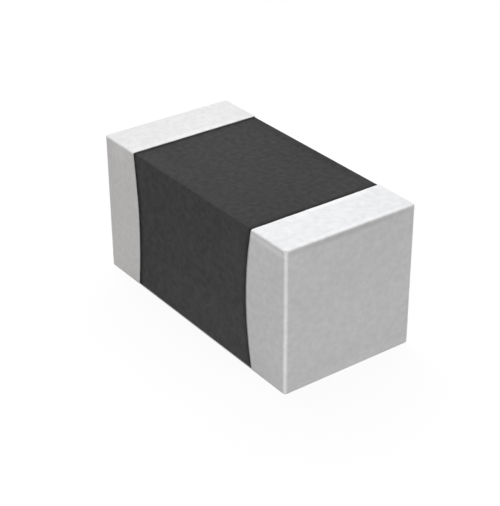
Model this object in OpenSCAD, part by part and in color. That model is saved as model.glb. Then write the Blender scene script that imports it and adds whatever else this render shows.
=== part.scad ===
// Chip capacitor, 3216 metric case (1206 in inches), in the 1.6 mm thick class.
// A dark ceramic block holds two interleaved sets of flat electrodes. Each end wears a wrap-around
// termination of fired copper, nickel and tin, and each set of electrodes meets its own end's copper.
// Millimetres. X runs along the length, Y across the width and Z up from the seating plane.
// The origin is the middle of the bottom.

/* [Chip] */
// Length over both terminations
chip_length = 3.2; // [3.0:0.005:3.4]
// Width over the terminations
chip_width = 1.6; // [1.4:0.005:1.8]
// Height over the terminations
chip_height = 1.605; // [1.5:0.005:1.8]
// Radius of the ceramic's four upright edges; each coat on them adds its thickness
upright_edge_radius = 0.028; // [0.005:0.001:0.1]
// Radius of the ceramic's eight level edges, round its top and bottom
level_edge_radius = 0.013; // [0.005:0.001:0.1]

/* [Terminations] */
// Reach of the left band along the top and bottom, measured from the end of the chip
left_band_length = 0.56; // [0.4:0.005:0.75]
// Reach of the right band along the top and bottom, measured from the end of the chip
right_band_length = 0.545; // [0.4:0.005:0.75]
// How far the left band bulges to the middle of the chip at half height
left_band_bulge = 0.064; // [0.02:0.001:0.15]
// How far the right band bulges to the middle of the chip at half height
right_band_bulge = 0.093; // [0.02:0.001:0.15]
// Thickness of the fired copper on the end faces
copper_on_end = 0.025; // [0.015:0.001:0.06]
// Thickness of the fired copper on the top, bottom and sides
copper_on_flank = 0.004; // [0.002:0.001:0.012]
// Thickness of the nickel barrier
nickel_thickness = 0.0015; // [0.001:0.0005:0.004]
// Thickness of the tin finish
tin_thickness = 0.0035; // [0.002:0.0005:0.006]

/* [Electrodes] */
// Number of electrodes in the stack
electrode_count = 40; // [10:2:40]
// Thickness of one electrode
electrode_thickness = 0.002; // [0.001:0.0005:0.003]
// Thickness of the ceramic between two electrodes
dielectric_thickness = 0.03; // [0.02:0.001:0.033]
// Bare ceramic beside the electrodes
side_margin = 0.2; // [0.12:0.01:0.35]
// Bare ceramic between an electrode's free edge and the end it stays clear of
end_margin = 0.25; // [0.12:0.01:0.5]

/* [Hidden] */
$fn = 64;
LEFT = -1;
RIGHT = 1;

// Coats on the ceramic, from the inside out
CERAMIC = 0;
COPPER = 1;
NICKEL = 2;
TIN = 3;

// What each coat adds to the ceramic, with the coats below it
flank_growth = [0, copper_on_flank, copper_on_flank + nickel_thickness,
                copper_on_flank + nickel_thickness + tin_thickness];
end_growth = [0, copper_on_end, copper_on_end + nickel_thickness,
              copper_on_end + nickel_thickness + tin_thickness];

ceramic_length = chip_length - 2 * end_growth[TIN];
ceramic_width = chip_width - 2 * flank_growth[TIN];
ceramic_height = chip_height - 2 * flank_growth[TIN];

electrode_length = ceramic_length - end_margin;
electrode_width = ceramic_width - 2 * side_margin;
electrode_pitch = electrode_thickness + dielectric_thickness;
electrodes_per_end = floor(electrode_count / 2);

// How far a cutting shape runs past the face that it opens
cut_through = 0.1;

// Number of an electrode in its set, in two digits so that names sort in order
function two_digits(number) = str(number < 10 ? "0" : "", number);
function electrode_name(end, number) =
    str(end == LEFT ? "left" : "right", "_electrode_", two_digits(number));

// Radius of the arc that a band's edge follows on the sides, from its chord and its bulge
function arc_radius(chord, bulge) = (pow(chord / 2, 2) + pow(bulge, 2)) / (2 * bulge);
function band_length(end) = end == LEFT ? left_band_length : right_band_length;
function band_bulge(end) = end == LEFT ? left_band_bulge : right_band_bulge;

// Height of an electrode's middle; the two sets take turns from the bottom of the stack up
function stack_level(end, number) = 2 * (number - 1) + (end == LEFT ? 0 : 1);
function electrode_z(end, number) =
    chip_height / 2 + (stack_level(end, number) - electrodes_per_end + 0.5) * electrode_pitch;

module rounded_rectangle(length, width, radius) {
    square([length - 2 * radius, width], center = true);
    square([length, width - 2 * radius], center = true);
    for (x = [-1, 1], y = [-1, 1])
        translate([x * (length / 2 - radius), y * (width / 2 - radius)]) circle(r = radius);
}

// A block whose twelve edges are all rounded: what three rounded prisms have in common
module rounded_block(length, width, height, upright_radius, level_radius) {
    intersection() {
        linear_extrude(height, center = true) rounded_rectangle(length, width, upright_radius);
        rotate([90, 0, 0])
            linear_extrude(width, center = true) rounded_rectangle(length, height, level_radius);
        rotate([90, 0, 90])
            linear_extrude(length, center = true) rounded_rectangle(width, height, level_radius);
    }
}

// The chip as it is after a coat, as if that coat covered it whole
module coated_block(coat) {
    translate([0, 0, chip_height / 2])
        rounded_block(
            ceramic_length + 2 * end_growth[coat],
            ceramic_width + 2 * flank_growth[coat],
            ceramic_height + 2 * flank_growth[coat],
            upright_edge_radius + flank_growth[coat],
            level_edge_radius + flank_growth[coat]
        );
}

// The part of the chip's length that a coat was dipped or plated over. Its edge is an arc seen from the
// side and a straight line seen from above, and each coat reaches its own thickness past the last.
module dipped_zone(end, coat) {
    outer_radius = arc_radius(chip_height, band_bulge(end));
    edge_x = chip_length / 2 - band_length(end) - band_bulge(end);
    translate([end * (edge_x + outer_radius), 0, chip_height / 2])
        rotate([90, 0, 0])
            cylinder(
                r = outer_radius - (flank_growth[TIN] - flank_growth[coat]),
                h = chip_width + 2 * cut_through,
                center = true
            );
}

module coated_end(end, coat) {
    intersection() {
        coated_block(coat);
        dipped_zone(end, coat);
    }
}

// One coat by itself: a thin five-sided cup over the coats below it
module coat_shell(end, coat) {
    difference() {
        coated_end(end, coat);
        if (coat > COPPER) coated_end(end, coat - 1);
        coated_block(CERAMIC);
    }
}

module copper_base(end) {
    color("peru") coat_shell(end, COPPER);
}

module nickel_barrier(end) {
    color("darkgray") coat_shell(end, NICKEL);
}

module tin_finish(end) {
    color("gainsboro") coat_shell(end, TIN);
}

// A flat sheet that starts at its own end of the ceramic and stops short of the other end
module electrode_sheet(end, number, run_out) {
    middle_x = end * (end_margin + run_out) / 2;
    translate([middle_x, 0, electrode_z(end, number)])
        cube([electrode_length + run_out, electrode_width, electrode_thickness], center = true);
}

module electrode(end, number) {
    color("silver") electrode_sheet(end, number, 0);
}

// The fired block, with a gap for each electrode that opens at the end the electrode serves
module ceramic_body() {
    color("dimgray") difference() {
        coated_block(CERAMIC);
        for (end = [LEFT, RIGHT], number = [1 : electrodes_per_end])
            electrode_sheet(end, number, cut_through);
    }
}

ceramic_body();
copper_base(LEFT);  // left_copper_base
nickel_barrier(LEFT);  // left_nickel_barrier
tin_finish(LEFT);  // left_tin_finish
copper_base(RIGHT);  // right_copper_base
nickel_barrier(RIGHT);  // right_nickel_barrier
tin_finish(RIGHT);  // right_tin_finish
for (end = [LEFT, RIGHT], number = [1 : electrodes_per_end])
    electrode(end, number);
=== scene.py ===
"""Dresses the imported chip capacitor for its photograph.

The ceramic block and the two tin finishes are made anew as fine meshes, each inside the space that its CAD
node holds. The copper, the nickel and the electrodes inside stay as packed and get finishes of their own.
Lengths are metres in the frame's axes: X along the chip, Y across it and Z up from the floor.
"""

import logging
import math
from collections.abc import Iterable
from dataclasses import dataclass, field
from enum import Enum

import bpy
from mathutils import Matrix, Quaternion, Vector


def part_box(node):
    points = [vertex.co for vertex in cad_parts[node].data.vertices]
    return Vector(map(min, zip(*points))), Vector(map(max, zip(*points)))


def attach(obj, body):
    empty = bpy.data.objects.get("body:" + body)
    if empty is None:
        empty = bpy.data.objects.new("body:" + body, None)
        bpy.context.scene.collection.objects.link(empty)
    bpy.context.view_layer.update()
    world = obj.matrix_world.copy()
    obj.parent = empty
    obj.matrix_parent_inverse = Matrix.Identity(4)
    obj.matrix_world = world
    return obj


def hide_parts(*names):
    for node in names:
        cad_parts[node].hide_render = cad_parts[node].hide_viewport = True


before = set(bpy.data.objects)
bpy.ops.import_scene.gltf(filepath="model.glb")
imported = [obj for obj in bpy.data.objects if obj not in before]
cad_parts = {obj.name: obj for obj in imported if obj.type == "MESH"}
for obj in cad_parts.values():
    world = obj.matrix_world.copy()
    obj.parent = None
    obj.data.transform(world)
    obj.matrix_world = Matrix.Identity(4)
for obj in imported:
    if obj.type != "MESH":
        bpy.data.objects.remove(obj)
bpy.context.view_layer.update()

MM = 1e-3
MICRON = 1e-6
BODY = "root"
EIGHTH_TURN = math.pi / 4
# Bumps for each millimetre, from the broad to the fine
RELIEF_WAVES = (2.5, 9.0)
RIM_WAVES = (1.5, 6.0)

log = logging.getLogger("chip_capacitor")

Colour = tuple[float, float, float]
Socket = bpy.types.NodeSocket
Value = Socket | float | int | bool | str | Vector | tuple | bpy.types.Material
Inputs = dict[str | int, Value]


class End(Enum):
    """The chip's two ends. The value is the end's sign on the X axis."""

    LEFT = -1
    RIGHT = 1

    @property
    def word(self) -> str:
        """The end's name as the CAD nodes write it."""
        return self.name.lower()


class Mark(Enum):
    """What a mesh stores at each point for its finish. The value is the attribute's name."""

    EDGE = "edge_rounding"
    RIM = "rim_distance"


class Pattern(Enum):
    """How a layer of a finish is drawn."""

    NOISE = "soft bumps"
    CRYSTALS = "cells, each of one tone"
    SPECKS = "small round spots"


@dataclass(frozen=True)
class Layer:
    """One pattern of a finish, and what it does to the tone, the roughness and the relief.

    Attributes:
        pattern: How it is drawn.
        scale: Bumps, crystals or cells with spots for each millimetre.
        tone: How strongly it changes the tone.
        rough: How strongly it changes the roughness.
        height: How strongly it changes the relief.
        detail: How many finer noises lie on the first.
        roughness: How strong each finer noise is.
        radius: A spot's radius, as a share of a cell.
        share: How many of the cells have a spot.
    """

    pattern: Pattern
    scale: float
    tone: float
    rough: float = 0.0
    height: float = 0.0
    detail: float = 2.0
    roughness: float = 0.5
    radius: float = 0.0
    share: float = 0.0


@dataclass(frozen=True)
class Cloud:
    """A broad, faint change of tone over a surface.

    Attributes:
        seed: Which of the noise's clouds it is, picked for likeness to the photo's.
        scale: Clouds for each millimetre.
        weight: How strong it is.
    """

    seed: int
    scale: float
    weight: float


@dataclass(frozen=True)
class Rub:
    """A soft oval patch of painted light or shade, lighter or darker than what lies round it.

    Attributes:
        middle: Where it is, in millimetres.
        reach: How far it goes each way, in millimetres.
        change: What it adds to the tone in its middle.
    """

    middle: tuple[float, float, float]
    reach: tuple[float, float, float]
    change: float


# Patches of painted light and shade that the photo shows: beside the tin's edges, and broad ones on the
# ceramic
LEFT_PAINTED_SHADING = (
    Rub((-1.33, -0.80, 1.50), (0.20, 0.03, 0.13), 0.10),
    Rub((-1.07, -0.10, 1.605), (0.08, 1.20, 0.03), 0.08),
)
RIGHT_PAINTED_SHADING = (
    Rub((1.36, -0.80, 1.542), (0.55, 0.03, 0.048), 0.17),
    Rub((1.57, -0.05, 1.605), (0.055, 1.10, 0.03), 0.09),
    Rub((1.085, 0.25, 1.605), (0.06, 0.80, 0.03), 0.11),
    Rub((1.60, -0.05, 1.572), (0.03, 1.20, 0.055), -0.15),
    Rub((1.60, 0.10, 0.030), (0.03, 1.20, 0.14), 0.09),
)
CERAMIC_PAINTED_SHADING = (
    Rub((-0.62, -0.70, 1.60), (0.70, 0.18, 0.03), 0.15),
    Rub((0.10, 0.74, 1.60), (1.70, 0.11, 0.03), -0.17),
    Rub((0.80, -0.79, 1.25), (0.32, 0.03, 0.45), 0.12),
    Rub((0.30, -0.79, 0.26), (1.25, 0.03, 0.48), 0.12),
)


def put(name: str, data: bpy.types.ID) -> bpy.types.Object:
    """Puts an object into the scene.

    Args:
        name: The object's name.
        data: Its mesh, lamp or camera.

    Returns:
        The object, at the origin.
    """
    made = bpy.data.objects.new(name, data)
    bpy.context.scene.collection.objects.link(made)
    return made


class Sketch:
    """Puts nodes into one tree in few words."""

    def __init__(self, tree: bpy.types.NodeTree) -> None:
        """Starts on a tree.

        Args:
            tree: The shader or geometry tree that gets the nodes.
        """
        self.tree = tree

    def fill(self, node: bpy.types.Node, inputs: Inputs) -> None:
        """Fills some of a node's inputs. What is the same all over goes on the socket itself.

        Args:
            node: The node.
            inputs: A value or an output socket for each input's name or number.
        """
        for key, value in inputs.items():
            if isinstance(value, Socket):
                self.tree.links.new(value, node.inputs[key])
            else:
                node.inputs[key].default_value = value

    def add(self, kind: str, inputs: Inputs | None = None, **settings: str) -> bpy.types.Node:
        """Adds a node, sets its properties and fills its inputs.

        Args:
            kind: The node's type.
            inputs: A value or an output socket for each input's name or number.
            **settings: The node's own properties.

        Returns:
            The new node.
        """
        node = self.tree.nodes.new(kind)
        for name, value in settings.items():
            setattr(node, name, value)
        self.fill(node, inputs or {})
        return node

    def math(self, operation: str, *values: Value) -> Socket:
        """Adds a math node and returns its result."""
        return self.add("ShaderNodeMath", dict(enumerate(values)), operation=operation).outputs[0]

    def vector(self, operation: str, *values: Value) -> Socket:
        """Adds a vector math node and returns its vector."""
        return self.add("ShaderNodeVectorMath", dict(enumerate(values)), operation=operation).outputs[0]

    def scaled(self, vector: Socket, factor: Value) -> Socket:
        """Multiplies a vector by a number."""
        node = self.add("ShaderNodeVectorMath", {0: vector, "Scale": factor}, operation="SCALE")
        return node.outputs[0]

    def parts(self, vector: Value) -> tuple[Socket, Socket, Socket]:
        """Takes a vector apart into its three numbers."""
        return tuple(self.add("ShaderNodeSeparateXYZ", {0: vector}).outputs)

    def joined(self, x: Value, y: Value, z: Value) -> Socket:
        """Makes a vector of three numbers."""
        return self.add("ShaderNodeCombineXYZ", {0: x, 1: y, 2: z}).outputs[0]

    def noise(self, place: Socket, scale: float, detail: float = 2.0, roughness: float = 0.5) -> Socket:
        """Adds a noise texture.

        Args:
            place: Where to read it, in millimetres.
            scale: Bumps for each millimetre.
            detail: How many finer layers lie on the first.
            roughness: How strong each finer layer is.

        Returns:
            The noise less its middle value, so that it swings round 0.
        """
        inputs = {"Vector": place, "Scale": scale, "Detail": detail, "Roughness": roughness}
        return self.math("SUBTRACT", self.add("ShaderNodeTexNoise", inputs).outputs[0], 0.5)

    def sum(self, *values: Value) -> Socket:
        """Adds up values.

        Args:
            *values: Any number of them.

        Returns:
            Their sum.
        """
        total = values[0]
        for value in values[1:]:
            total = self.math("ADD", total, value)
        return total


class GeometryTree(Sketch):
    """A Geometry Nodes tree whose inputs are the sizes of the piece that it makes."""

    SOCKETS = {float: "NodeSocketFloat", int: "NodeSocketInt", Vector: "NodeSocketVector"}

    def __init__(self, name: str, sizes: dict[str, float | int | Vector]) -> None:
        """Makes the tree and its named inputs.

        Args:
            name: The name of the piece.
            sizes: Each input's name and the value that the piece gives it.
        """
        super().__init__(bpy.data.node_groups.new(name, "GeometryNodeTree"))
        self.name = name
        self.values = {}
        for label, value in sizes.items():
            kind = self.SOCKETS[type(value)]
            made = self.tree.interface.new_socket(name=label, in_out="INPUT", socket_type=kind)
            self.values[made.identifier] = value
        self.tree.interface.new_socket(name="Geometry", in_out="OUTPUT", socket_type="NodeSocketGeometry")
        self.size = self.add("NodeGroupInput").outputs

    def store(self, mesh: Socket, mark: Mark, value: Socket) -> Socket:
        """Stores a number at each point of a mesh for its finish to read.

        Args:
            mesh: The mesh so far.
            mark: Which number it is.
            value: The number at each point.

        Returns:
            The mesh that carries it.
        """
        inputs = {"Geometry": mesh, "Name": mark.value, "Value": value}
        return self.add("GeometryNodeStoreNamedAttribute", inputs, data_type="FLOAT").outputs[0]

    def index(self) -> Socket:
        """The number of each point."""
        return self.add("GeometryNodeInputIndex").outputs[0]

    def position(self) -> Socket:
        """The place of each point."""
        return self.add("GeometryNodeInputPosition").outputs[0]

    def choose(self, index: Socket, choices: list[float]) -> Socket:
        """Gives each point the number at its own index in a short list.

        Args:
            index: Which of the numbers a point takes.
            choices: The numbers.

        Returns:
            The number at each point.
        """
        node = self.add("GeometryNodeIndexSwitch", {"Index": index}, data_type="FLOAT")
        while len(node.index_switch_items) < len(choices):
            node.index_switch_items.new()
        for number, choice in enumerate(choices):
            node.inputs[number + 1].default_value = choice
        return node.outputs[0]

    def shaped(self, mesh: Socket, place: Socket) -> Socket:
        """Moves a mesh's points to their places and shades it smooth."""
        moved = self.add("GeometryNodeSetPosition", {"Geometry": mesh, "Position": place}).outputs[0]
        return self.add("GeometryNodeSetShadeSmooth", {"Geometry": moved, "Shade Smooth": True}).outputs[0]

    def grow(self, geometry: Socket, material: bpy.types.Material) -> bpy.types.Object:
        """Ends the tree, runs it once and keeps what it makes as a plain mesh.

        Args:
            geometry: What the tree has made.
            material: The finish that all of it wears.

        Returns:
            The piece, with no modifier left on it.
        """
        whole = self.add("GeometryNodeRealizeInstances", {0: geometry}).outputs[0]
        dressed = self.add("GeometryNodeSetMaterial", {"Geometry": whole, "Material": material}).outputs[0]
        self.add("NodeGroupOutput", {0: dressed})
        host = put(self.name + "_host", bpy.data.meshes.new(self.name + "_host"))
        modifier = host.modifiers.new(self.name, "NODES")
        modifier.node_group = self.tree
        for identifier, value in self.values.items():
            modifier[identifier] = value
        evaluated = host.evaluated_get(bpy.context.evaluated_depsgraph_get())
        mesh = bpy.data.meshes.new_from_object(evaluated)
        bpy.data.objects.remove(host)
        mesh.name = self.name
        return put(self.name, mesh)


@dataclass(frozen=True)
class RoundedBlock:
    """A box on the chip's middle line whose twelve edges are rounded.

    Attributes:
        half_size: Half of its length, width and height.
        middle_height: The height of its middle above the floor.
        upright_radius: The radius of the four upright edges.
        level_radius: The radius of the eight edges round the top and the bottom.
    """

    half_size: Vector
    middle_height: float
    upright_radius: float
    level_radius: float

    @classmethod
    def round_nodes(cls, upright_radius: float, level_radius: float, *nodes: str) -> "RoundedBlock":
        """Measures the block that fits round some CAD nodes.

        Args:
            upright_radius: The radius of the block's upright edges.
            level_radius: The radius of its level edges.
            *nodes: The CAD nodes' names.

        Returns:
            The block.
        """
        corners = [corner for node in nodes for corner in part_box(node)]
        low = Vector(min(corner[axis] for corner in corners) for axis in range(3))
        high = Vector(max(corner[axis] for corner in corners) for axis in range(3))
        return cls((high - low) / 2, (high.z + low.z) / 2, upright_radius, level_radius)

    def inputs(self) -> dict[str, float | Vector]:
        """The block's sizes as a tree's named inputs."""
        return {
            "Half Size": self.half_size,
            "Middle Height": self.middle_height,
            "Upright Radius": self.upright_radius,
            "Level Radius": self.level_radius,
        }

    @staticmethod
    def core(tree: GeometryTree) -> Socket:
        """Half the size of the block less its rounded edges, from a tree's named inputs."""
        upright = tree.size["Upright Radius"]
        rounding = tree.joined(upright, upright, tree.size["Level Radius"])
        return tree.vector("SUBTRACT", tree.size["Half Size"], rounding)

    @staticmethod
    def swell(tree: GeometryTree, outward: Socket, depth: Value = 0.0) -> Socket:
        """Finds the way from the core to the surface, round the upright edges first and then over the level.

        Args:
            tree: The tree that asks, with the block's inputs.
            outward: The outward direction at each point.
            depth: How far below the outer surface the point lies.

        Returns:
            The way to the surface.
        """
        level = tree.size["Level Radius"]
        sideways = tree.vector("NORMALIZE", tree.vector("MULTIPLY", outward, (1.0, 1.0, 0.0)))
        round_upright = tree.scaled(sideways, tree.math("SUBTRACT", tree.size["Upright Radius"], level))
        return tree.vector("ADD", round_upright, tree.scaled(outward, tree.math("SUBTRACT", level, depth)))


@dataclass(frozen=True)
class BandRim:
    """Where a termination ends on the ceramic: straight on the top and bottom, an arc on the sides."""

    end: End
    top_edge: float
    bulge: float
    chord: float

    @property
    def arc_radius(self) -> float:
        """The radius of the arc, from its chord and how far it bulges."""
        return ((self.chord / 2) ** 2 + self.bulge**2) / (2 * self.bulge)

    def inputs(self) -> dict[str, float]:
        """The rim's sizes as a tree's named inputs, with the end's word before each."""
        word = self.end.word.title()
        return {
            f"{word} Arc Radius": self.arc_radius,
            f"{word} Arc Middle": self.top_edge - self.bulge + self.arc_radius,
        }

    def reach(self, tree: GeometryTree, height: Socket) -> Socket:
        """Finds how far from the chip's middle the rim lies.

        Args:
            tree: The tree that asks, with this rim's inputs.
            height: The height above or below the middle.

        Returns:
            The distance along X from the chip's middle, as a positive number.
        """
        word = self.end.word.title()
        radius = tree.size[f"{word} Arc Radius"]
        squared = tree.math("SUBTRACT", tree.math("POWER", radius, 2.0), tree.math("POWER", height, 2.0))
        return tree.math("SUBTRACT", tree.size[f"{word} Arc Middle"], tree.math("SQRT", squared))


@dataclass(frozen=True)
class EdgeGrid:
    """A cube's grid whose outermost cells make the rounding of its edges."""

    cells: tuple[int, int, int]
    rounding_cells: int

    def mesh(self, tree: GeometryTree) -> Socket:
        """The plain grid, from -1 to 1 on each axis."""
        counts = {f"Vertices {axis}": cells + 1 for axis, cells in zip("XYZ", self.cells)}
        return tree.add("GeometryNodeMeshCube", {"Size": (2.0, 2.0, 2.0), **counts}).outputs[0]

    def share(self, tree: GeometryTree) -> tuple[Socket, Socket]:
        """Splits each point's place in the grid into its share of the flats and its lean over the edges.

        Args:
            tree: The tree that gets the nodes.

        Returns:
            The place on the flats, from -1 to 1 on each axis, and the lean, whose direction is the block's
            outward direction at the point.
        """
        flat = Vector(1 - 2 * self.rounding_cells / cells for cells in self.cells)
        ones = Vector((1.0, 1.0, 1.0))
        grid = tree.position()
        stretched = tree.vector("DIVIDE", grid, flat)
        inside = tree.vector("MINIMUM", tree.vector("MAXIMUM", stretched, -ones), ones)
        beyond = tree.vector("SUBTRACT", tree.vector("ABSOLUTE", grid), flat)
        turned = tree.vector("DIVIDE", tree.vector("MAXIMUM", beyond, (0.0, 0.0, 0.0)), ones - flat)
        slope = tree.vector("TANGENT", tree.scaled(turned, EIGHTH_TURN))
        return inside, tree.vector("MULTIPLY", slope, tree.vector("SIGN", grid))


def edge_share(tree: GeometryTree, outward: Socket) -> Socket:
    """Tells how far round an upright edge a point lies, 0 on the flats and 1 in the middle of the edge.

    Args:
        tree: The tree that gets the nodes.
        outward: The outward direction at each point.

    Returns:
        The share.
    """
    x, y, _ = tree.parts(tree.vector("ABSOLUTE", outward))
    return tree.math("MULTIPLY", tree.math("MINIMUM", x, y), math.sqrt(2))


def waves(tree: GeometryTree, place: Socket, scales: tuple[float, ...]) -> Socket:
    """Adds up a few noises.

    Args:
        tree: The tree that gets the nodes.
        place: Where each point is, in metres.
        scales: Bumps for each millimetre, from the broad to the fine.

    Returns:
        A number that swings from -1 to 1 at the most.
    """
    in_mm = tree.scaled(place, 1 / MM)
    total = tree.sum(*(tree.noise(in_mm, scale) for scale in scales))
    return tree.math("MULTIPLY", total, 2 / len(scales))


def relief(tree: GeometryTree, place: Socket, depth: Value) -> Socket:
    """Makes the slight unevenness of a fired or plated surface, which only ever sinks below the plain form.

    Args:
        tree: The tree that gets the nodes.
        place: Where each point is, in metres.
        depth: How far the deepest points lie below the plain form.

    Returns:
        How far to move each point outwards, as a negative number.
    """
    share = tree.math("MULTIPLY", tree.math("SUBTRACT", waves(tree, place, RELIEF_WAVES), 1.0), 0.5)
    return tree.math("MULTIPLY", share, depth)


@dataclass(frozen=True)
class Ring:
    """One ring of a cup's mesh, on the way from the end face over the flank, round the rim and back inside.

    Attributes:
        run: The share of the way from the end's rounding to the rim.
        turn: The share of the half rounding next to the end face.
        depth: How far below the outer surface it lies.
        back: How far it stays short of the rim.
    """

    run: float
    turn: float
    depth: float
    back: float


@dataclass
class TinCup:
    """The tin on one end: a thin five-sided cup that is folded from one closed grid."""

    end: End
    block: RoundedBlock
    rim: BandRim
    wall: float
    lip_depth: float
    rim_rounding: float = 8 * MICRON
    lip_width: float = 3.5 * MICRON
    relief_depth: float = 1.6 * MICRON
    rim_wander: float = 9 * MICRON
    cells_across: int = 72
    rounding_cells: int = 4
    outer_rings: int = 26
    rim_rings: int = 5
    inner_rings: int = 8

    @property
    def name(self) -> str:
        """The piece's name."""
        return f"{self.end.word}_tin_cup"

    def rings(self) -> list[Ring]:
        """Lists the cup's rings.

        Returns:
            The rings from the outer end face to the inner one.
        """
        edge = range(self.rounding_cells + 1)
        rings = [Ring(0.0, 1 - step / self.rounding_cells, 0.0, self.rim_rounding) for step in edge]
        for step in range(1, self.outer_rings + 1):
            rings.append(Ring(step / self.outer_rings, 0.0, 0.0, self.rim_rounding))
        for step in range(1, self.rim_rings + 1):
            angle = math.pi / 2 * step / self.rim_rings
            depth = self.lip_depth * (1 - math.cos(angle))
            rings.append(Ring(1.0, 0.0, depth, self.rim_rounding * (1 - math.sin(angle))))
        rings.append(Ring(1.0, 0.0, self.lip_depth, self.lip_width))
        for step in range(self.inner_rings):
            rings.append(Ring(1 - step / self.inner_rings, 0.0, self.wall, self.lip_width))
        rings += [Ring(0.0, step / self.rounding_cells, self.wall, self.lip_width) for step in edge]
        return rings

    def build(self, material: bpy.types.Material) -> bpy.types.Object:
        """Makes the cup.

        Args:
            material: The tin.

        Returns:
            The piece.
        """
        sizes = {
            **self.block.inputs(),
            **self.rim.inputs(),
            "End Sign": float(self.end.value),
            "Relief": self.relief_depth,
            "Rim Wander": self.rim_wander,
        }
        tree = GeometryTree(self.name, sizes)
        rings = self.rings()
        grid = EdgeGrid((len(rings) - 1, self.cells_across, self.cells_across), self.rounding_cells)
        inside, lean = grid.share(tree)
        sign = tree.size["End Sign"]
        along = tree.math("MULTIPLY", tree.parts(tree.position())[0], sign)
        number = tree.math("MULTIPLY", tree.math("SUBTRACT", 1.0, along), (len(rings) - 1) / 2)
        ring = tree.math("ROUND", number)
        run = tree.choose(ring, [each.run for each in rings])
        turn = tree.choose(ring, [each.turn for each in rings])
        depth = tree.choose(ring, [each.depth for each in rings])
        back = tree.choose(ring, [each.back for each in rings])

        _, lean_y, lean_z = tree.parts(lean)
        lean_x = tree.math("TANGENT", tree.math("MULTIPLY", turn, EIGHTH_TURN))
        outward = tree.vector("NORMALIZE", tree.joined(lean_x, lean_y, lean_z))
        core = self.block.core(tree)
        swell = self.block.swell(tree, outward, depth)
        _, y, z = tree.parts(tree.vector("ADD", tree.vector("MULTIPLY", inside, core), swell))
        corner = tree.parts(core)[0]
        unevenness = waves(tree, tree.joined(sign, y, z), RIM_WAVES)
        wander = tree.math("MULTIPLY", unevenness, tree.size["Rim Wander"])
        rim = tree.math("ADD", self.rim.reach(tree, z), wander)
        way = tree.math("SUBTRACT", tree.math("ADD", rim, back), corner)
        station = tree.math("ADD", corner, tree.math("MULTIPLY", run, way))
        x = tree.math("ADD", station, tree.parts(swell)[0])
        place = tree.joined(
            tree.math("MULTIPLY", x, sign), y, tree.math("ADD", z, tree.size["Middle Height"])
        )
        outside = tree.math("LESS_THAN", depth, self.wall / 2)
        lift = relief(tree, place, tree.math("MULTIPLY", tree.size["Relief"], outside))
        flip = tree.joined(sign, 1.0, 1.0)
        moved = tree.vector("ADD", place, tree.scaled(tree.vector("MULTIPLY", outward, flip), lift))

        mesh = grid.mesh(tree)
        mesh = tree.store(mesh, Mark.EDGE, edge_share(tree, outward))
        mesh = tree.store(mesh, Mark.RIM, tree.math("DIVIDE", tree.math("SUBTRACT", x, rim), MM))
        return tree.grow(tree.shaped(mesh, moved), material)


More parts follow.
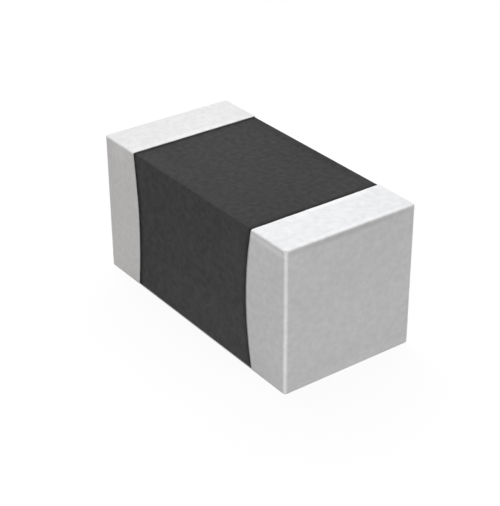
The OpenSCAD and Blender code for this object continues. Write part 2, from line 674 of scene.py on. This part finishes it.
@dataclass
class CeramicBlock:
    """The fired block, with a slot for each electrode that opens at the electrode's own end."""

    block: RoundedBlock
    rims: dict[End, BandRim]
    electrodes: list[str]
    relief_depth: float = 1.6 * MICRON
    relief_ramp: float = 50 * MICRON
    slot_overrun: float = 40 * MICRON
    cells: tuple[int, int, int] = (140, 72, 72)
    rounding_cells: int = 4
    name: str = "ceramic_block"

    def slots(self, tree: GeometryTree) -> Socket:
        """Sets out the electrodes' slots, which take turns at the two ends.

        Args:
            tree: The tree, with the slots' sizes among its inputs.

        Returns:
            The slots as instances of one box.
        """
        stack = {
            "Count": tree.size["Slots"],
            "Start Location": tree.joined(0.0, 0.0, tree.size["Slot Height"]),
            "Offset": tree.joined(0.0, 0.0, tree.size["Slot Pitch"]),
        }
        points = tree.add("GeometryNodeMeshLine", stack, mode="OFFSET").outputs[0]
        odd = tree.math("MODULO", tree.index(), 2.0)
        side = tree.math("SUBTRACT", tree.math("MULTIPLY", odd, 2.0), 1.0)
        shift = tree.joined(tree.math("MULTIPLY", side, tree.size["Slot Shift"]), 0.0, 0.0)
        points = tree.add("GeometryNodeSetPosition", {"Geometry": points, "Offset": shift}).outputs[0]
        box = tree.add("GeometryNodeMeshCube", {"Size": tree.size["Slot Size"]}).outputs[0]
        return tree.add("GeometryNodeInstanceOnPoints", {"Points": points, "Instance": box}).outputs[0]

    def slot_sizes(self) -> dict[str, float | int | Vector]:
        """Reads the slots' sizes from the electrodes' boxes, in order of height.

        Returns:
            The sizes as the tree's named inputs.
        """
        boxes = sorted((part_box(node) for node in self.electrodes), key=lambda box: box[0].z)
        low, high = boxes[0]
        size = high - low
        size.x += self.slot_overrun
        return {
            "Slots": len(boxes),
            "Slot Size": size,
            "Slot Height": (low.z + high.z) / 2,
            "Slot Pitch": boxes[1][0].z - low.z,
            "Slot Shift": -(low.x + high.x - self.slot_overrun) / 2,
        }

    def build(self, material: bpy.types.Material) -> bpy.types.Object:
        """Makes the block.

        Args:
            material: The ceramic.

        Returns:
            The piece.
        """
        rims = [self.rims[End.LEFT], self.rims[End.RIGHT]]
        sizes = {**self.block.inputs(), "Relief": self.relief_depth, **self.slot_sizes()}
        for rim in rims:
            sizes |= rim.inputs()
        tree = GeometryTree(self.name, sizes)
        grid = EdgeGrid(self.cells, self.rounding_cells)
        inside, lean = grid.share(tree)
        outward = tree.vector("NORMALIZE", lean)
        core = tree.vector("MULTIPLY", inside, self.block.core(tree))
        place = tree.vector("ADD", core, self.block.swell(tree, outward))
        x, _, z = tree.parts(place)
        left = tree.math("ADD", rims[0].reach(tree, z), x)
        right = tree.math("SUBTRACT", rims[1].reach(tree, z), x)
        bare = tree.math("DIVIDE", tree.math("MINIMUM", left, right), MM)
        ramp = tree.math("MULTIPLY", bare, MM / self.relief_ramp)
        seen = tree.math("MINIMUM", tree.math("MAXIMUM", ramp, 0.0), 1.0)
        lift = relief(tree, place, tree.math("MULTIPLY", tree.size["Relief"], seen))
        stood = tree.vector("ADD", place, tree.joined(0.0, 0.0, tree.size["Middle Height"]))
        moved = tree.vector("ADD", stood, tree.scaled(outward, lift))

        mesh = tree.shaped(tree.store(grid.mesh(tree), Mark.RIM, bare), moved)
        slots = tree.add("GeometryNodeRealizeInstances", {0: self.slots(tree)}).outputs[0]
        solids = {"Mesh 1": mesh, "Mesh 2": slots}
        cut = tree.add("GeometryNodeMeshBoolean", solids, operation="DIFFERENCE", solver="EXACT")
        return tree.grow(cut.outputs[0], material)


class Finish(Sketch):
    """A procedural material that reads its pattern from the object's own coordinates, in millimetres."""

    def __init__(self, name: str) -> None:
        """Starts the material.

        Args:
            name: The material's name.
        """
        self.material = bpy.data.materials.new(name)
        self.material.use_nodes = True
        super().__init__(self.material.node_tree)
        self.shader = self.tree.nodes["Principled BSDF"]
        coordinates = self.add("ShaderNodeTexCoord").outputs["Object"]
        scale = (1 / MM, 1 / MM, 1 / MM)
        self.place = self.add("ShaderNodeMapping", {"Vector": coordinates, "Scale": scale}).outputs[0]

    def mark(self, mark: Mark) -> Socket:
        """Reads a number that the mesh stores at each point."""
        return self.add("ShaderNodeAttribute", attribute_name=mark.value).outputs["Fac"]

    def clouded(self, cloud: Cloud) -> Socket:
        """Draws a broad cloud.

        Args:
            cloud: The cloud.

        Returns:
            Its change of tone, which swings round 0.
        """
        inputs = {"Vector": self.place, "W": float(cloud.seed), "Scale": cloud.scale, "Detail": 1.0}
        noise = self.add("ShaderNodeTexNoise", inputs, noise_dimensions="4D").outputs[0]
        return self.math("MULTIPLY", self.math("SUBTRACT", noise, 0.5), cloud.weight)

    def painted_patch(self, patch: Rub) -> Socket:
        """Draws a patch of painted light or shade.

        Args:
            patch: The patch.

        Returns:
            Its change of tone, which fades out from its middle.
        """
        offset = self.vector("DIVIDE", self.vector("SUBTRACT", self.place, patch.middle), patch.reach)
        beyond = self.sum(*self.parts(self.vector("MULTIPLY", offset, offset)))
        share = self.math("MAXIMUM", self.math("SUBTRACT", 1.0, beyond), 0.0)
        return self.math("MULTIPLY", self.math("POWER", share, 2.0), patch.change)

    def drawn(self, layer: Layer) -> Socket:
        """Draws a layer's pattern.

        Args:
            layer: The layer.

        Returns:
            A number that swings round 0 or, for spots, goes from 0 beside them to 1 in their middles.
        """
        if layer.pattern is Pattern.NOISE:
            return self.noise(self.place, layer.scale, layer.detail, layer.roughness)
        cell = self.add("ShaderNodeTexVoronoi", {"Vector": self.place, "Scale": layer.scale}).outputs
        own_number = self.parts(cell["Color"])[0]
        if layer.pattern is Pattern.CRYSTALS:
            return self.math("SUBTRACT", own_number, 0.5)
        near = self.math("SUBTRACT", 1.0, self.math("DIVIDE", cell["Distance"], layer.radius))
        chosen = self.math("LESS_THAN", own_number, layer.share)
        return self.math("MULTIPLY", self.math("MAXIMUM", near, 0.0), chosen)

    def layered(self, layers: tuple[Layer, ...]) -> tuple[Socket, Socket, Socket]:
        """Draws some layers and adds them up.

        Args:
            layers: The layers.

        Returns:
            What they add to the tone, to the roughness and to the relief.
        """
        patterns = [self.drawn(layer) for layer in layers]
        weights = zip(*((layer.tone, layer.rough, layer.height) for layer in layers))
        return tuple(self.weighed(zip(patterns, column)) for column in weights)

    def weighed(self, terms: Iterable[tuple[Socket, float]]) -> Socket:
        """Adds up patterns, each times its own weight. A weight of 0 leaves its pattern out."""
        return self.sum(*(self.math("MULTIPLY", pattern, weight) for pattern, weight in terms if weight))

    def wear(self, colour: Colour, tone: Socket, roughness: Socket, height: Socket, depth: float) -> None:
        """Puts the patterns on the shader.

        Args:
            colour: The surface's mean colour.
            tone: What to add to 1 to scale the colour.
            roughness: The roughness at each point.
            height: The relief, as a number that swings by about 1.
            depth: How far a height of 1 stands up, in metres.
        """
        toned = self.scaled(self.joined(*colour), self.math("ADD", tone, 1.0))
        bump = self.add("ShaderNodeBump", {"Height": height, "Distance": depth}).outputs[0]
        self.fill(self.shader, {"Base Color": toned, "Roughness": roughness, "Normal": bump})


@dataclass(frozen=True)
class MatteTin:
    """Electroplated matte tin: pale and fine-grained, a little shinier where tumbling has worn an edge.

    Where its rim bulges over a flank, the tin is darker over feather_reach millimetres, which puts the seen
    rim where the photo has it. The larger feather_fade is, the nearer to the top and the bottom that fades
    out. The layers are two grains, crystals and pits. Its tone also has patches of painted light and shade.
    """

    name: str
    colour: Colour
    cloud: Cloud
    painted_shading: tuple[Rub, ...]
    feather_reach: float
    metallic: float = 0.05
    edge_metallic: float = 0.41
    specular: float = 0.28
    roughness: float = 0.60
    edge_polish: float = 0.20
    feather_depth: float = 0.85
    feather_fade: float = 4.0
    relief_depth: float = 0.5 * MICRON
    layers: tuple[Layer, ...] = (
        Layer(Pattern.NOISE, 16.0, tone=0.24, rough=0.25, height=0.8, roughness=0.45),
        Layer(Pattern.NOISE, 55.0, tone=0.08, height=0.6),
        Layer(Pattern.CRYSTALS, 75.0, tone=0.04, rough=0.06, height=0.35),
        Layer(Pattern.SPECKS, 7.0, tone=-0.12, height=-3.0, radius=0.075, share=0.25),
    )

    def feathered(self, finish: Finish, half_height: float) -> Socket:
        """Darkens the tin's edge where its rim bulges over a flank, but not on the top or bottom.

        Args:
            finish: The finish that gets the nodes.
            half_height: Half of the chip's height, in millimetres.

        Returns:
            What to add to the tone.
        """
        near = finish.math("SUBTRACT", 1.0, finish.math("DIVIDE", finish.mark(Mark.RIM), self.feather_reach))
        height = finish.math("DIVIDE", finish.parts(finish.place)[2], half_height)
        off_middle = finish.math("ABSOLUTE", finish.math("SUBTRACT", height, 1.0))
        level = finish.math("POWER", off_middle, self.feather_fade)
        flank = finish.math("SUBTRACT", 1.0, finish.math("MINIMUM", level, 1.0))
        share = finish.math("MULTIPLY", finish.math("MAXIMUM", near, 0.0), flank)
        return finish.math("MULTIPLY", share, -self.feather_depth)

    def make(self, half_height: float) -> bpy.types.Material:
        """Builds the material.

        Args:
            half_height: Half of the chip's height, in millimetres.

        Returns:
            The material, ready to wear.
        """
        finish = Finish(self.name)
        tone, rough, height = finish.layered(self.layers)
        cloud = finish.clouded(self.cloud)
        edge = finish.mark(Mark.EDGE)
        feather = self.feathered(finish, half_height)
        # The tone also takes the patches of painted light and shade
        tone = finish.sum(cloud, tone, feather, *map(finish.painted_patch, self.painted_shading))
        rough = finish.sum(self.roughness, rough, finish.math("MULTIPLY", edge, -self.edge_polish))
        finish.wear(self.colour, tone, rough, height, self.relief_depth)
        shine = finish.math("ADD", finish.math("MULTIPLY", edge, self.edge_metallic), self.metallic)
        finish.fill(finish.shader, {"Metallic": shine, "Specular IOR Level": self.specular})
        return finish.material


@dataclass(frozen=True)
class DarkCeramic:
    """Fired dark ceramic: dull, fine-grained and slightly porous, darker along the bands' edges.

    The darker fringe goes over fringe_reach millimetres. The gloss follows the cloud, the fringe and the
    patches of painted light and shade as the colour does. The layers are two grains, crystals, pores and pale
    flecks.
    """

    colour: Colour = (0.0300, 0.0300, 0.0300)
    cloud: Cloud = Cloud(4759, 0.4, 0.9)
    painted_shading: tuple[Rub, ...] = CERAMIC_PAINTED_SHADING
    specular: float = 0.30
    roughness: float = 0.70
    fringe_reach: float = 0.075
    fringe_depth: float = 0.60
    relief_depth: float = 0.9 * MICRON
    layers: tuple[Layer, ...] = (
        Layer(Pattern.NOISE, 17.0, tone=0.52, rough=-0.24, height=0.9, roughness=0.45),
        Layer(Pattern.NOISE, 50.0, tone=0.2, height=0.8, detail=3.0, roughness=0.6),
        Layer(Pattern.CRYSTALS, 60.0, tone=0.1, rough=0.08, height=0.3),
        Layer(Pattern.SPECKS, 11.0, tone=-0.6, height=-3.0, radius=0.11, share=0.4),
        Layer(Pattern.SPECKS, 8.0, tone=0.6, radius=0.07, share=0.2),
    )

    def make(self) -> bpy.types.Material:
        """Builds the material.

        Returns:
            The material, ready to wear.
        """
        finish = Finish("dark_ceramic")
        tone, rough, height = finish.layered(self.layers)
        cloud = finish.clouded(self.cloud)
        near = finish.math("DIVIDE", finish.mark(Mark.RIM), self.fringe_reach)
        fringe = finish.math("MAXIMUM", finish.math("SUBTRACT", 1.0, finish.math("ABSOLUTE", near)), 0.0)
        darkened = finish.math("MULTIPLY", fringe, -self.fringe_depth)
        # Cloud, darker fringe and patches of painted light and shade, which the gloss follows too
        tone_and_painted_shade = finish.sum(cloud, darkened, *map(finish.painted_patch, self.painted_shading))
        rough = finish.math("ADD", rough, self.roughness)
        finish.wear(self.colour, finish.sum(tone, tone_and_painted_shade), rough, height, self.relief_depth)
        gloss = finish.math("MULTIPLY", finish.math("ADD", tone_and_painted_shade, 1.0), self.specular)
        finish.fill(finish.shader, {"Specular IOR Level": gloss})
        return finish.material


@dataclass(frozen=True)
class InnerMetal:
    """A metal inside the chip, out of sight: a mean colour with the grain of its own making."""

    name: str
    colour: Colour
    roughness: float
    grain_scale: float
    pore_share: float = 0.0
    metallic: float = 1.0
    relief_depth: float = 0.4 * MICRON

    def layers(self) -> tuple[Layer, ...]:
        """Lists its patterns, in proportion to its grain."""
        return (
            Layer(Pattern.NOISE, self.grain_scale / 10, tone=0.2),
            Layer(Pattern.NOISE, self.grain_scale, tone=0.3, rough=0.3, height=1.0, detail=3.0),
            Layer(Pattern.CRYSTALS, self.grain_scale * 2, tone=0.1, rough=0.1, height=0.5),
            Layer(Pattern.SPECKS, self.grain_scale / 2, -0.5, height=-2.0, radius=0.2, share=self.pore_share),
        )

    def make(self) -> bpy.types.Material:
        """Builds the material.

        Returns:
            The material, ready to wear.
        """
        finish = Finish(self.name)
        tone, rough, height = finish.layered(self.layers())
        rough = finish.math("ADD", rough, self.roughness)
        finish.wear(self.colour, tone, rough, height, self.relief_depth)
        finish.fill(finish.shader, {"Metallic": self.metallic})
        return finish.material


@dataclass
class Capacitor:
    """The whole chip: what is made anew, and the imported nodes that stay."""

    upright_radius: float = 0.037 * MM
    level_radius: float = 0.022 * MM
    bands: dict[End, float] = field(default_factory=lambda: {End.LEFT: 0.56 * MM, End.RIGHT: 0.545 * MM})
    bulges: dict[End, float] = field(default_factory=lambda: {End.LEFT: 0.064 * MM, End.RIGHT: 0.093 * MM})
    # The left tin's colour is a little darker than the right's: painted shade on a copy of the same tin
    left_tin: MatteTin = MatteTin(
        "left_tin", (0.812, 0.803, 0.806), Cloud(4586, 0.5, 0.29), LEFT_PAINTED_SHADING, feather_reach=0.006
    )
    right_tin: MatteTin = MatteTin(
        "right_tin", (0.844, 0.846, 0.856), Cloud(1313, 0.4, 0.41), RIGHT_PAINTED_SHADING, feather_reach=0.028
    )
    ceramic: DarkCeramic = DarkCeramic()
    metals: tuple[InnerMetal, ...] = (
        InnerMetal("fired_copper", (0.62, 0.30, 0.18), 0.55, 60.0, pore_share=0.5),
        InnerMetal("nickel_plate", (0.52, 0.50, 0.46), 0.38, 120.0),
        InnerMetal("electrode_nickel", (0.42, 0.40, 0.37), 0.45, 90.0, pore_share=0.3),
    )

    def finish_of(self, node: str) -> str:
        """The name of the metal that an inner CAD node is made of."""
        words = {"copper": "fired_copper", "nickel": "nickel_plate", "electrode": "electrode_nickel"}
        return next(metal for word, metal in words.items() if word in node)

    def dress_inside(self) -> None:
        """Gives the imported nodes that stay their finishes."""
        made = {metal.name: metal.make() for metal in self.metals}
        inner = [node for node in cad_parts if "_body" not in node and "_tin_" not in node]
        for node in inner:
            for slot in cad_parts[node].material_slots:
                slot.material = made[self.finish_of(node)]
        log.info("dressed %d packed nodes inside the chip", len(inner))

    def place(self, piece: bpy.types.Object, node: str, slot: str) -> None:
        """Ties a piece to the frame.

        Args:
            piece: The piece.
            node: The CAD node that it stands for.
            slot: The record's material slot. It is not used.
        """
        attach(piece, BODY)
        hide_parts(node)
        log.info("%s: %d faces, stands for %s", piece.name, len(piece.data.polygons), node)

    def build(self) -> None:
        """Makes the visible pieces and dresses everything."""
        tins = [f"{end.word}_tin_finish" for end in End]
        outer = RoundedBlock.round_nodes(self.upright_radius, self.level_radius, *tins)
        tin_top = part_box("left_tin_finish")[1].y
        wall = tin_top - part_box("left_nickel_barrier")[1].y
        lip_depth = tin_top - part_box("ceramic_body")[1].y
        reach, chord = outer.half_size.x, 2 * outer.half_size.z
        rims = {end: BandRim(end, reach - self.bands[end], self.bulges[end], chord) for end in End}
        for end, tin in ((End.LEFT, self.left_tin), (End.RIGHT, self.right_tin)):
            cup = TinCup(end, outer, rims[end], wall, lip_depth)
            material = tin.make(outer.half_size.z / MM)
            self.place(cup.build(material), f"{end.word}_tin_finish", "matte_tin")
        radii = (self.upright_radius - lip_depth, self.level_radius - lip_depth)
        inner = RoundedBlock.round_nodes(*radii, "ceramic_body")
        electrodes = [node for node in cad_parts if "_electrode_" in node]
        block = CeramicBlock(inner, rims, electrodes)
        self.place(block.build(self.ceramic.make()), "ceramic_body", "dark_ceramic")
        self.dress_inside()


@dataclass(frozen=True)
class Lamp:
    """A soft box that points at the chip.

    Attributes:
        name: The lamp's name.
        azimuth: Degrees round from the side that faces -Y towards +X.
        elevation: Degrees above the floor.
        strength: How bright a white card that faces the lamp looks, where 1 is white.
        size: The box's width.
        colour: The light's colour.
        distance: How far from the chip it hangs.
        gleams: Whether it shows in glossy surfaces. A polarised lamp does not.
    """

    name: str
    azimuth: float
    elevation: float
    strength: float
    size: float = 250 * MM
    colour: Colour = (1.0, 1.0, 1.0)
    distance: float = 300 * MM
    gleams: bool = True

    def hang(self, target: Vector) -> None:
        """Hangs the lamp.

        Args:
            target: The point that it shines on.
        """
        data = bpy.data.lights.new(self.name, "AREA")
        data.shape = "DISK"
        data.size = self.size
        data.color = self.colour
        # A far disk of this power lights a white card that faces it to the strength
        data.energy = self.strength * math.pi**2 * self.distance**2
        away = direction(self.azimuth, self.elevation)
        lamp = put(self.name, data)
        lamp.visible_glossy = self.gleams
        lamp.location = target + away * self.distance
        lamp.rotation_euler = away.to_track_quat("Z", "Y").to_euler()


def direction(azimuth: float, elevation: float) -> Vector:
    """Points from the chip out into the room.

    Args:
        azimuth: Degrees round from the side that faces -Y towards +X.
        elevation: Degrees above the floor.

    Returns:
        The direction, one unit long.
    """
    turn, rise = math.radians(azimuth), math.radians(elevation)
    return Vector((math.sin(turn) * math.cos(rise), -math.cos(turn) * math.cos(rise), math.sin(rise)))


@dataclass
class Studio:
    """A plain pale floor in a plain pale room, with soft light."""

    lamps: tuple[Lamp, ...] = (
        Lamp("key_lamp", 244.0, 60.0, 0.755, colour=(0.995, 1.002, 1.018), gleams=False),
        Lamp("left_fill_lamp", 20.0, 10.0, 0.20, colour=(1.0, 0.996, 0.982)),
        Lamp("right_fill_lamp", 75.0, 10.0, 0.24, colour=(1.0, 0.996, 0.982)),
    )
    floor_size: float = 160 * MM
    floor_bounce: Colour = (0.20, 0.198, 0.193)
    white_share: float = 0.93
    shade_share: float = 0.25
    shade_size: tuple[float, float] = (2.08 * MM, 1.574 * MM)
    shade_lift: float = 1 * MICRON
    ambient: Colour = (0.39, 0.388, 0.383)

    def seen_ray(self, sketch: Sketch) -> Socket:
        """Tells the rays that show the room, straight or in a gloss, from those that light things.

        Args:
            sketch: The tree that asks.

        Returns:
            1 for a ray that shows the room and 0 for one that lights things.
        """
        path = sketch.add("ShaderNodeLightPath").outputs
        shown = sketch.math("MAXIMUM", path["Is Camera Ray"], path["Is Glossy Ray"])
        return sketch.math("MAXIMUM", shown, path["Is Transmission Ray"])

    def paper(self, name: str, white_share: float) -> bpy.types.Material:
        """Makes a sheet's material: white with the chip's shadow to the eye, a pale grey to the light.

        Args:
            name: The material's name.
            white_share: How much of what the eye sees is plain white, whatever the shadow.

        Returns:
            The material.
        """
        material = bpy.data.materials.new(name)
        material.use_nodes = True
        material.cycles.emission_sampling = "NONE"
        sketch = Sketch(material.node_tree)
        sketch.tree.nodes.clear()
        shaded = sketch.add("ShaderNodeBsdfDiffuse", {"Color": (1.0, 1.0, 1.0, 1.0)}).outputs[0]
        plain = sketch.add("ShaderNodeEmission", {"Strength": 1.0}).outputs[0]
        bounce = sketch.add("ShaderNodeBsdfDiffuse", {"Color": (*self.floor_bounce, 1.0)}).outputs[0]
        shown = sketch.add("ShaderNodeMixShader", {0: white_share, 1: shaded, 2: plain}).outputs[0]
        mixed = sketch.add("ShaderNodeMixShader", {0: self.seen_ray(sketch), 1: bounce, 2: shown}).outputs[0]
        sketch.add("ShaderNodeOutputMaterial", {"Surface": mixed})
        return material

    def lay_sheet(self, name: str, size: tuple[float, float], lift: float, white_share: float) -> None:
        """Lays a sheet under the chip: the floor, or the shade in the gap below the ceramic.

        Args:
            name: The sheet's name.
            size: Its length and width.
            lift: Its height.
            white_share: How much of it is plain white to the eye.
        """
        x, y = size[0] / 2, size[1] / 2
        corners = [(-x, -y, lift), (x, -y, lift), (x, y, lift), (-x, y, lift)]
        mesh = bpy.data.meshes.new(name)
        mesh.from_pydata(corners, [], [(0, 1, 2, 3)])
        mesh.materials.append(self.paper(name, white_share))
        put(name, mesh)

    def fill_room(self) -> None:
        """Sets the room round the floor: white to the eye, dim to the light."""
        world = bpy.data.worlds.new("studio_room")
        world.use_nodes = True
        world.cycles.sampling_method = "NONE"
        sketch = Sketch(world.node_tree)
        sketch.tree.nodes.clear()
        dim = sketch.add("ShaderNodeBackground", {"Color": (*self.ambient, 1.0)}).outputs[0]
        white = sketch.add("ShaderNodeBackground", {"Color": (1.0, 1.0, 1.0, 1.0)}).outputs[0]
        mixed = sketch.add("ShaderNodeMixShader", {0: self.seen_ray(sketch), 1: dim, 2: white}).outputs[0]
        sketch.add("ShaderNodeOutputWorld", {"Surface": mixed})
        bpy.context.scene.world = world

    def build(self, target: Vector) -> None:
        """Sets up the studio.

        Args:
            target: The point that the lamps shine on.
        """
        self.lay_sheet("studio_floor", (self.floor_size, self.floor_size), 0.0, self.white_share)
        self.lay_sheet("studio_shade", self.shade_size, self.shade_lift, self.shade_share)
        self.fill_room()
        for lamp in self.lamps:
            lamp.hang(target)
        bpy.context.scene.view_settings.view_transform = "Standard"
        log.info("studio: %d lamps", len(self.lamps))


@dataclass(frozen=True)
class PhotoCamera:
    """The photograph's camera, from where the chip's corners lie in it."""

    target: tuple[float, float, float] = (0.2362 * MM, -0.2124 * MM, 0.7790 * MM)
    distance: float = 14.525 * MM
    azimuth: float = 53.936
    elevation: float = 29.529
    roll: float = -0.310
    focal_pixels: float = 1404.7
    long_side_pixels: float = 506.0
    sensor: float = 36.0
    clip_factor: float = 100.0

    def build(self) -> None:
        """Makes the camera and gives it to the scene."""
        data = bpy.data.cameras.new("photo_camera")
        data.sensor_width = self.sensor
        data.lens = self.focal_pixels * self.sensor / self.long_side_pixels
        data.clip_start = self.distance / self.clip_factor
        data.clip_end = self.distance * self.clip_factor
        away = direction(self.azimuth, self.elevation)
        camera = put("photo_camera", data)
        camera.location = Vector(self.target) + away * self.distance
        rolled = Quaternion((0.0, 0.0, 1.0), math.radians(self.roll))
        camera.rotation_mode = "QUATERNION"
        camera.rotation_quaternion = away.to_track_quat("Z", "Y") @ rolled
        bpy.context.scene.camera = camera
        log.info("camera: %.1f mm lens", data.lens)


def main() -> None:
    """Builds everything in order."""
    logging.basicConfig(level=logging.INFO, format="%(name)s: %(message)s")
    camera = PhotoCamera()
    camera.build()
    Capacitor().build()
    Studio().build(Vector(camera.target))


if __name__ == "__main__":
    main()
